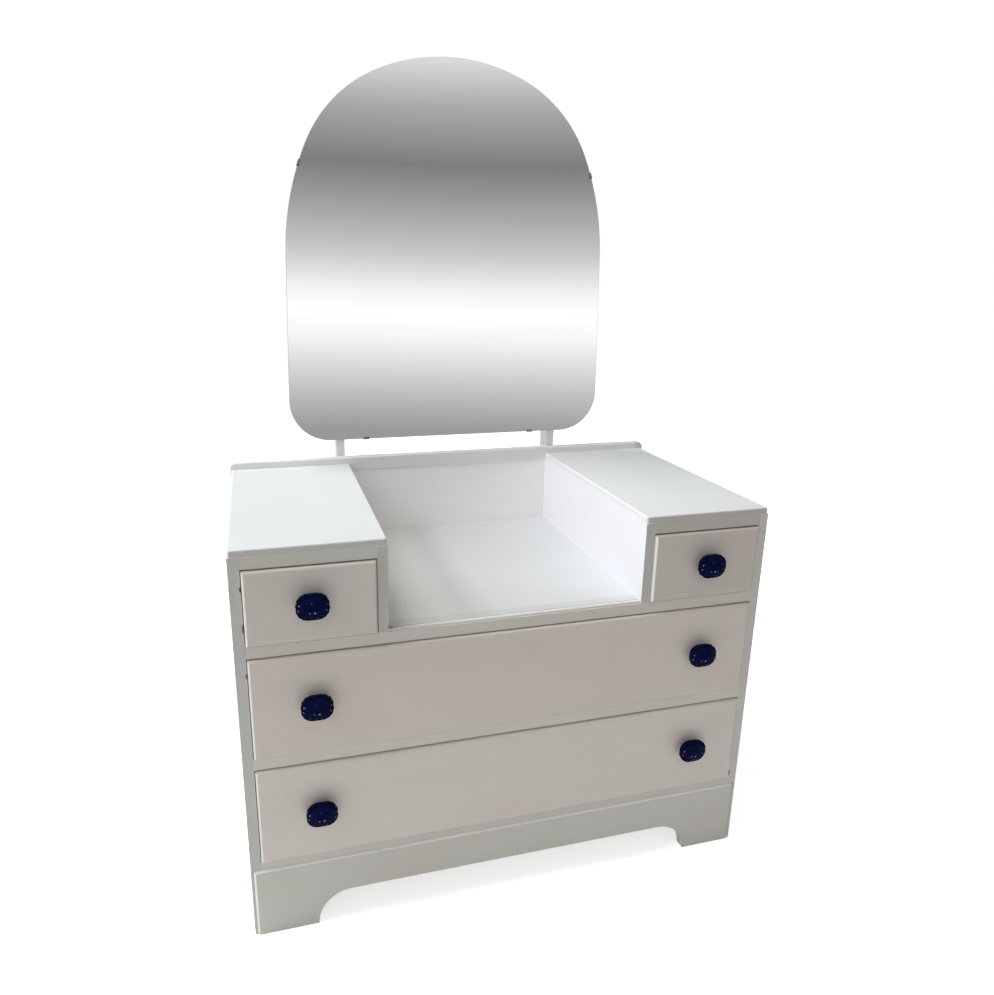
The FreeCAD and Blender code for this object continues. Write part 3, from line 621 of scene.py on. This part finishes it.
def metal(name, colour, dull_colour, roughness):
    """Plain metal with fine scratches and dull patches."""
    material, tree, shader = new_material(name)
    point = coordinates(tree)
    dull = noise(tree, point, dull_scale, dull_detail)
    scratch = noise(tree, stretched(tree, point, scratch_grain))
    shader.inputs["Metallic"].default_value = 1.0
    tree.links.new(mix(tree, spread(tree, dull, *dull_reach), colour, dull_colour),
                   shader.inputs["Base Color"])
    tree.links.new(spread(tree, dull, *dull_range, roughness, roughness + dull_roughness),
                   shader.inputs["Roughness"])
    tree.links.new(bump(tree, scratch, scratch_depth, scratch_relief), shader.inputs["Normal"])
    return material


zinc = metal("zinc_plate", bright_zinc, dull_zinc, zinc_roughness)
clip_steel = metal("clip_steel", bright_steel, dull_steel, steel_roughness)
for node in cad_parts:
    if "screw" in node or "nail" in node:
        dress(node, zinc)
dress("mirror_clips", clip_steel)


# Mirror: its silver, ground edge and grey back, their roughness, and its slight lean in degrees as its
# reflections show it
silver = (0.93, 0.935, 0.935, 1)
ground_edge = (0.30, 0.36, 0.34, 1)
silver_roughness, edge_roughness = 0.015, 0.25
mirror_front_turn = 0.9
mirror_lean = 3.2


def silvered(node):
    """Silvered plate, bright on its front, that leans back a touch."""
    material, tree, shader = new_material("silvered_glass")
    face = math_node(tree, "GREATER_THAN", turned_to(tree, to_front), mirror_front_turn)
    tree.links.new(mix(tree, face, ground_edge, silver), shader.inputs["Base Color"])
    tree.links.new(face, shader.inputs["Metallic"])
    tree.links.new(spread(tree, face, 0.0, 1.0, edge_roughness, silver_roughness),
                   shader.inputs["Roughness"])
    lean = math_node(tree, "MULTIPLY", face, math.tan(math.radians(mirror_lean)))
    upwards = tree.nodes.new("ShaderNodeCombineXYZ")
    tree.links.new(lean, upwards.inputs["Z"])
    leaning = vector_node(tree, "ADD", coordinates(tree, "Normal"), upwards.outputs[0])
    tree.links.new(vector_node(tree, "NORMALIZE", leaning), shader.inputs["Normal"])
    dress(node, material)


silvered("mirror_glass")

# Cobalt glass of the knobs: nearly black where it is thick, with cut rays, a darker rim and painted glints
thick_blue, thin_blue = (0.0018, 0.0032, 0.034, 1), (0.0028, 0.0048, 0.056, 1)
ray_blue = (0.009, 0.016, 0.085, 1)
rim_blue = (0.0015, 0.0018, 0.008, 1)
glint_tint = (0.94, 0.97, 1.15)
cloud_scale, cloud_reach = 60.0, (0.35, 0.65)
rays_of_cut = 26
ray_edges = (0.30, 0.46)
ray_reach = (0.10, 0.36)
ray_share = 0.5
rim_reach = (0.40, 0.47)
rim_share = 0.7
glint_core, glint_end = 0.4, 1.3
cobalt_roughness = 0.06
cobalt_ior = 1.52
cobalt_gloss = 0.02
# Painted glints of a knob, highlights painted as pale spots: as shares of its width and height from its
# lower left, with size and grey
painted_glints = [(0.105, 0.61, 0.024, 0.40), (0.078, 0.42, 0.024, 0.26), (0.90, 0.36, 0.022, 0.30),
          (0.925, 0.60, 0.018, 0.22), (0.555, 0.305, 0.030, 0.50), (0.40, 0.315, 0.024, 0.30),
          (0.63, 0.10, 0.016, 0.20), (0.25, 0.15, 0.014, 0.16), (0.47, 0.69, 0.016, 0.16)]


def cobalt_glass():
    """Deep blue cut glass with painted glints, laid on each knob by its own map."""
    material, tree, shader = new_material("cobalt_glass")
    cloud = noise(tree, coordinates(tree), cloud_scale)
    colour = mix(tree, spread(tree, cloud, *cloud_reach), thick_blue, thin_blue)
    face = coordinates(tree, "UV")
    over, up = split(tree, face)[:2]
    round_it = math_node(tree, "ARCTAN2", math_node(tree, "SUBTRACT", up, 0.5),
                         math_node(tree, "SUBTRACT", over, 0.5))
    out = vector_node(tree, "LENGTH", vector_node(tree, "SUBTRACT", face, (0.5, 0.5, 0)))
    rays = math_node(tree, "PINGPONG", math_node(tree, "MULTIPLY", round_it, rays_of_cut / math.tau), 0.5)
    rays = math_node(tree, "MULTIPLY", spread(tree, rays, *ray_edges), spread(tree, out, *ray_reach))
    colour = mix(tree, math_node(tree, "MULTIPLY", rays, ray_share), colour, ray_blue)
    rim = spread(tree, out, *rim_reach)
    colour = mix(tree, math_node(tree, "MULTIPLY", rim, rim_share), colour, rim_blue)
    # Painted highlights: pale glints painted into the colour
    for across_it, up_it, size, grey in painted_glints:
        away = vector_node(tree, "LENGTH", vector_node(tree, "SUBTRACT", face, (across_it, up_it, 0)))
        colour = mix(tree, spread(tree, away, glint_core * size, glint_end * size, 1.0, 0.0), colour,
                     tuple(part * grey for part in glint_tint) + (1,))
    tree.links.new(colour, shader.inputs["Base Color"])
    shader.inputs["Roughness"].default_value = cobalt_roughness
    shader.inputs["IOR"].default_value = cobalt_ior
    shader.inputs["Specular IOR Level"].default_value = cobalt_gloss
    return material


cobalt = cobalt_glass()


# Knobs. Rings of a knob from the seat outwards, as shares of its depth: end of the neck, back and front
# of the rim, crown. The table ends the knob.
neck_ring, rim_back_ring, rim_front_ring, crown_ring = 0.30, 0.60, 0.82, 0.93
corner_segments = 7
corner_share = 0.86
notch_share = 0.965
flute_share = 0.93
flattening = 0.965
# Facets between two rings, as (share of the way, scale of the face that it ends in)
crown_facets = [(0.4, 0.965), (0.6, 0.80)]
table_facets = [(0.45, 0.62), (0.55, 0.58)]
back_facets = [(0.35, 0.93), (0.65, 0.52)]
neck_taper = 0.80
crown_dip = 0.25
ring_tolerance = 0.0002


def draw_out(step, scale, centre):
    """Extrude the picked face by a step along Y and scale it about an axis through a centre."""
    bpy.ops.mesh.extrude_region_move(TRANSFORM_OT_translate={"value": (0, step, 0)})
    bpy.ops.transform.resize(value=(scale, 1, scale), center_override=centre)


def draw_facets(distance, facets, centre):
    """Draw the picked face out over a distance in facets."""
    for share, scale in facets:
        draw_out(share * distance, scale, centre)


def every_other(piece, depth, centre):
    """Select every other point of the ring at a depth, counted round the axis."""
    bpy.ops.mesh.select_mode(type="VERT")
    mesh = bmesh.from_edit_mesh(piece.data)
    ring = [point for point in mesh.verts if abs(point.co.y - depth) < ring_tolerance]
    ring.sort(key=lambda point: math.atan2(point.co.z - centre.z, point.co.x - centre.x))
    for point in mesh.verts:
        point.select_set(False)
    for point in ring[::2]:
        point.select_set(True)
    bmesh.update_edit_mesh(piece.data)


def pick_edges_through(piece, thickness):
    """Select the edges that run through a slab from front to back."""
    bpy.ops.mesh.select_mode(type="EDGE")
    mesh = bmesh.from_edit_mesh(piece.data)
    for edge in mesh.edges:
        edge.select_set(abs(edge.verts[0].co.y - edge.verts[1].co.y) > thickness / 2)
    bmesh.update_edit_mesh(piece.data)


def cut_knob(node, seat):
    """Oval knob with a notched rim, a faceted crown with a small table, and a fluted back on a round
    neck, in the box of its node."""
    low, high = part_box(node)
    middle = (low + high) / 2
    axis = (middle.x, 0, middle.z)
    width, height, depth = high.x - low.x, high.z - low.z, seat - low.y
    neck_end, rim_back, rim_front, crown, table = (
        seat - share * depth for share in (neck_ring, rim_back_ring, rim_front_ring, crown_ring, 1.0))
    bpy.ops.mesh.primitive_cube_add(size=1, location=(middle.x, (rim_back + rim_front) / 2, middle.z),
                                    scale=(width, rim_back - rim_front, height))
    piece = bpy.context.object
    settle(piece)
    edit(piece)
    pick_edges_through(piece, rim_back - rim_front)
    bpy.ops.mesh.bevel(offset=corner_share * height / 2, segments=corner_segments, affect="EDGES")

    pick_faces(piece, faces_front)
    draw_facets(crown - rim_front, crown_facets, axis)
    draw_facets(table - crown, table_facets, axis)
    pick_faces(piece, faces_rear)
    draw_facets(neck_end - rim_back, back_facets, axis)
    draw_out(seat - neck_end, neck_taper, axis)

    for ring, share in ((rim_front, notch_share), (rim_back, notch_share), (crown, flute_share),
                        (neck_end, flute_share)):
        every_other(piece, ring, middle)
        bpy.ops.transform.resize(value=(share, 1, share), center_override=axis)
    every_other(piece, crown, middle)
    bpy.ops.transform.translate(value=(0, crown_dip * (rim_front - crown), 0))
    bpy.ops.mesh.select_all(action="SELECT")
    bpy.ops.transform.resize(value=(1, 1, flattening), center_override=axis)
    finish_edit()
    for loop, spot in zip(piece.data.loops, piece.data.uv_layers.active.data):
        point = piece.data.vertices[loop.vertex_index].co
        spot.uv = ((point.x - low.x) / width, (point.z - middle.z) / (height * flattening) + 0.5)
    piece.data.materials.append(cobalt)
    return piece


first_knob = cut_knob("small_left_knob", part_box("small_left_front")[0].y)
first_low, first_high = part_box("small_left_knob")
knobs = {"small_left_knob": first_knob,
         "small_right_knob": copy_to(first_knob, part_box("small_right_knob")[0] - first_low)}
for node in ("long_upper_knobs", "long_lower_knobs"):
    pair_low, pair_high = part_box(node)
    left = copy_to(first_knob, pair_low - first_low)
    right = copy_to(first_knob, Vector((pair_high.x - first_high.x, *(pair_low - first_low).yz)))
    knobs[node] = join([left, right])
for node, piece in knobs.items():
    call_it(piece, node + "_glass")
    stand_for(piece, node, drawer_of(node))


# Screws. Their heads lie at the rear end of their node, further apart than this.
screw_apart = 0.02
face_tolerance = 0.0001
screw_sides = 28
# Domed head, as shares of its height: its rim, then (share, scale) of each step of its dome
head_rim = 0.4
head_dome = [(0.35, 0.88), (0.25, 0.74)]
slot_share, slot_depth = 0.14, 0.5
# Shank and point, as (share of its length, scale)
shank_steps = [(0.7, 0.95), (0.3, 0.3)]
screw_turn = 0.9
smooth_angle = 32
# Sizes: radius and height of the head, radius of the shank
post_screw_size = (0.0044, 0.0024, 0.0022)
clip_screw_size = (0.0028, 0.0012, 0.0015)
knob_screw_size = (0.0040, 0.0026, 0.0020)


def screw_spots(node):
    """Middle of the outer face of each screw's head, at the rear end of the node, and its tip's depth."""
    points = [vertex.co.copy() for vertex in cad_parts[node].data.vertices]
    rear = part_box(node)[1].y
    heads = []
    for point in points:
        if rear - point.y > face_tolerance:
            continue
        near = [head for head in heads if (head[0] - point).length < screw_apart]
        if near:
            near[0].append(point)
        else:
            heads.append([point])
    spots = []
    for head in heads:
        spot = Vector([(min(point[side] for point in head) + max(point[side] for point in head)) / 2
                       for side in (X, Y, Z)])
        own = [point for point in points if math.hypot(point.x - spot.x, point.z - spot.z) < screw_apart / 2]
        spots.append((spot, min(point.y for point in own)))
    return spots


def driven_to(piece, seat, tip, first_tip):
    """Bring a copied screw's tip from the first one's depth to its own."""
    share = (seat - tip) / (seat - first_tip)
    for vertex in piece.data.vertices:
        if vertex.co.y < seat - face_tolerance / 10:
            vertex.co.y = seat + (vertex.co.y - seat) * share
    return piece


def slotted_screws(node, body, head_radius, head_height, shank_radius):
    """The screws of a node, each with a domed, slotted head and a tapered shank."""
    spots = screw_spots(node)
    first, first_tip = spots[0]
    seat = first.y - head_height
    bpy.ops.mesh.primitive_cylinder_add(vertices=screw_sides, radius=head_radius,
                                        depth=head_rim * head_height, rotation=(math.pi / 2, 0, 0),
                                        location=first - Vector((0, (1 - head_rim / 2) * head_height, 0)))
    piece = bpy.context.object
    settle(piece)
    edit(piece)
    pick_faces(piece, faces_rear)
    draw_facets(head_height, head_dome, first)
    half_slot = slot_share * head_radius
    for side in (-half_slot, half_slot):
        pick_faces(piece, faces_rear)
        bpy.ops.mesh.bisect(plane_co=(first.x + side, first.y, first.z), plane_no=to_right)
    pick_faces(piece, lambda spot, normal: faces_rear(spot, normal) and abs(spot.x - first.x) < half_slot)
    draw_out(-slot_depth * head_height, 1.0, first)
    pick_faces(piece, faces_front)
    draw_out(0, shank_radius / head_radius, first)
    draw_facets(first_tip - seat, shank_steps, first)
    finish_edit()
    bpy.ops.object.shade_smooth_by_angle(angle=math.radians(smooth_angle))
    piece.data.materials.append(zinc)
    others = [driven_to(copy_to(piece, spot - first, screw_turn * count, first), seat, tip, first_tip)
              for count, (spot, tip) in enumerate(spots) if count]
    piece = join([piece] + others)
    call_it(piece, node + "_slotted")
    stand_for(piece, node, body)


slotted_screws("post_screws", "carcass", *post_screw_size)
slotted_screws("mirror_clip_screws", "carcass", *clip_screw_size)
for node in ("small_left_knob_screw", "small_right_knob_screw", "long_upper_knob_screws",
             "long_lower_knob_screws"):
    slotted_screws(node, drawer_of(node), *knob_screw_size)


# Camera, solved from the photograph's vanishing lines
image_side = 995
focal_pixels = 761.2
principal_pixel = (467.16, 482.82)
image_centre = (497.0, 497.5)
sensor_width = 36.0
camera_place = (-0.3994, -1.3365, 1.0894)
camera_turn = (74.238, -0.696, -15.455)

camera_data = bpy.data.cameras.new("camera")
camera_data.sensor_width = sensor_width
camera_data.lens = focal_pixels * sensor_width / image_side
camera_data.shift_x = (image_centre[0] - principal_pixel[0]) / image_side
camera_data.shift_y = (principal_pixel[1] - image_centre[1]) / image_side
camera = bpy.data.objects.new("camera", camera_data)
bpy.context.scene.collection.objects.link(camera)
camera.location = camera_place
camera.rotation_euler = [math.radians(angle) for angle in camera_turn]
bpy.context.scene.camera = camera


# Floor: white to the camera beyond the object's shadow, softer in the mirror
floor_size = 9.0
floor_back = 1.6
floor_colour = (0.86, 0.86, 0.86, 1)
floor_roughness = 0.9
floor_glow = 0.70
glow_reach = (1.0, 2.4)
mirrored_glow = 0.25
mirrored_reach = (0.6, 2.8)
mirrored_floor = (0.78, 0.78, 0.78, 1)

# Lamps: place, the point that they face, size, watts, colour
day = (0.97, 0.99, 1.0)
warm = (1.0, 0.985, 0.96)
lamps = {"window_high": ((-2.6, -0.3, 2.8), (0, 0, 0.6), 1.2, 34, day),
         "window_low": ((-3.2, 0.2, 1.5), (0, 0, 0.6), 1.2, 16, day),
         "overhead": ((-1.2, 0.3, 3.3), (0, 0, 0.6), 1.6, 72, day),
         "rear_fill": ((2.2, 2.6, 0.9), (0, 0, 0.6), 1.6, 20, warm),
         "side_fill": ((3.0, 0.9, 1.2), (0, 0, 0.5), 1.6, 14, warm)}

# World: light from all round, and light from the front left, which fades as directions turn away from it
ambient_colour = (1.0, 0.99, 0.97, 1)
ambient_strength = 0.02
front_strength = 0.575
front_from = (-0.45, -0.75, 0.48)
front_fade = (0.2, 0.9)
# Soft bands that the mirror shows, tipped a little: height from 0 at 14 degrees below the horizon to 1 at
# 14 above, and grey. Above, below and behind them the greys are even.
band_stops = [(0.10, 0.59), (0.33, 0.945), (0.397, 1.0), (0.455, 0.945), (0.545, 0.775), (0.749, 0.484),
              (0.87, 0.65), (0.985, 0.885)]
band_up = (0.045, 0.0, 1.0)
band_reach = (-0.25, 0.25)
band_strength = 1.09
ceiling_grey, ceiling_reach = (0.45, 0.45, 0.45, 1), (0.25, 0.8)
below_reach = (-0.27, -0.44)
rear_grey, rear_reach = (0.42, 0.42, 0.42, 1), (-0.25, 0.05)
screen_gamma = 2.2


def added(tree, a, b):
    """Two shaders added up."""
    node = tree.nodes.new("ShaderNodeAddShader")
    tree.links.new(a, node.inputs[0])
    tree.links.new(b, node.inputs[1])
    return node.outputs[0]


def chosen(tree, factor, a, b):
    """One shader or another by a factor."""
    node = tree.nodes.new("ShaderNodeMixShader")
    for socket, value in zip(node.inputs, (factor, a, b)):
        tree.links.new(value, socket)
    return node.outputs[0]


def studio_floor():
    """Pale floor that keeps the object's shadow."""
    bpy.ops.mesh.primitive_plane_add(size=floor_size, location=(0, floor_back, 0))
    floor = bpy.context.object
    settle(floor)
    floor.name = "studio_floor"
    material, tree, shader = new_material("pale_floor")
    shader.inputs["Base Color"].default_value = floor_colour
    shader.inputs["Roughness"].default_value = floor_roughness
    path = tree.nodes.new("ShaderNodeLightPath").outputs
    away = vector_node(tree, "LENGTH", coordinates(tree))
    bright = spread(tree, away, *glow_reach, floor_glow, 1.0)
    soft = spread(tree, away, *mirrored_reach, mirrored_glow, 0.0)
    glow = tree.nodes.new("ShaderNodeEmission")
    tree.links.new(math_node(tree, "MULTIPLY_ADD", path["Is Glossy Ray"],
                             math_node(tree, "SUBTRACT", soft, bright), bright), glow.inputs["Strength"])
    shown = math_node(tree, "MAXIMUM", path["Is Camera Ray"],
                      math_node(tree, "MAXIMUM", path["Is Glossy Ray"], path["Is Transmission Ray"]))
    seen = chosen(tree, shown, shader.outputs[0], added(tree, shader.outputs[0], glow.outputs[0]))
    tree.links.new(seen, tree.nodes["Material Output"].inputs["Surface"])
    floor.data.materials.append(material)


def softbox(name, place, target, size, power, colour):
    """Square area lamp that looks at a point."""
    data = bpy.data.lights.new(name, "AREA")
    data.size = size
    data.energy = power
    data.color = colour
    lamp = bpy.data.objects.new(name, data)
    bpy.context.scene.collection.objects.link(lamp)
    lamp.location = place
    lamp.rotation_euler = (Vector(target) - Vector(place)).to_track_quat("-Z", "Y").to_euler()
    lamp.visible_glossy = False


def background(tree, colour, strength=1.0):
    """Light of a colour from the world."""
    node = tree.nodes.new("ShaderNodeBackground")
    put(tree, node.inputs["Color"], colour)
    node.inputs["Strength"].default_value = strength
    return node.outputs[0]


def band_greys(tree, direction):
    """Greys of the world as glass and metal show it, as they look on screen."""
    height = math_node(tree, "SUBTRACT", vector_node(tree, "DOT_PRODUCT", direction, band_up),
                       math.tan(math.radians(2 * mirror_lean)))
    grey = ramp(tree, spread(tree, height, *band_reach), band_stops)
    grey = mix(tree, spread(tree, height, *ceiling_reach), grey, ceiling_grey)
    grey = mix(tree, spread(tree, height, *below_reach), grey, mirrored_floor)
    return mix(tree, spread(tree, split(tree, direction)[Y], *rear_reach), grey, rear_grey)


def studio_world():
    """Plain light for the object, white to the camera, and soft bands for what glass and metal show."""
    world = bpy.data.worlds.new("studio")
    bpy.context.scene.world = world
    world.use_nodes = True
    tree = world.node_tree
    tree.nodes.clear()
    direction = coordinates(tree, "Generated")
    linear = tree.nodes.new("ShaderNodeGamma")
    tree.links.new(band_greys(tree, direction), linear.inputs["Color"])
    linear.inputs["Gamma"].default_value = screen_gamma
    towards = vector_node(tree, "DOT_PRODUCT", direction, Vector(front_from).normalized())
    ambient = added(tree, background(tree, ambient_colour, ambient_strength),
                    background(tree, spread(tree, towards, *front_fade), front_strength))
    path = tree.nodes.new("ShaderNodeLightPath").outputs
    shiny = math_node(tree, "MAXIMUM", path["Is Glossy Ray"], path["Is Transmission Ray"])
    lit = chosen(tree, shiny, ambient, background(tree, linear.outputs[0], band_strength))
    seen = chosen(tree, path["Is Camera Ray"], lit, background(tree, (1, 1, 1, 1)))
    tree.links.new(seen, tree.nodes.new("ShaderNodeOutputWorld").inputs["Surface"])


studio_floor()
studio_world()
for name, settings in lamps.items():
    softbox(name, *settings)

bpy.context.scene.view_settings.view_transform = "Standard"
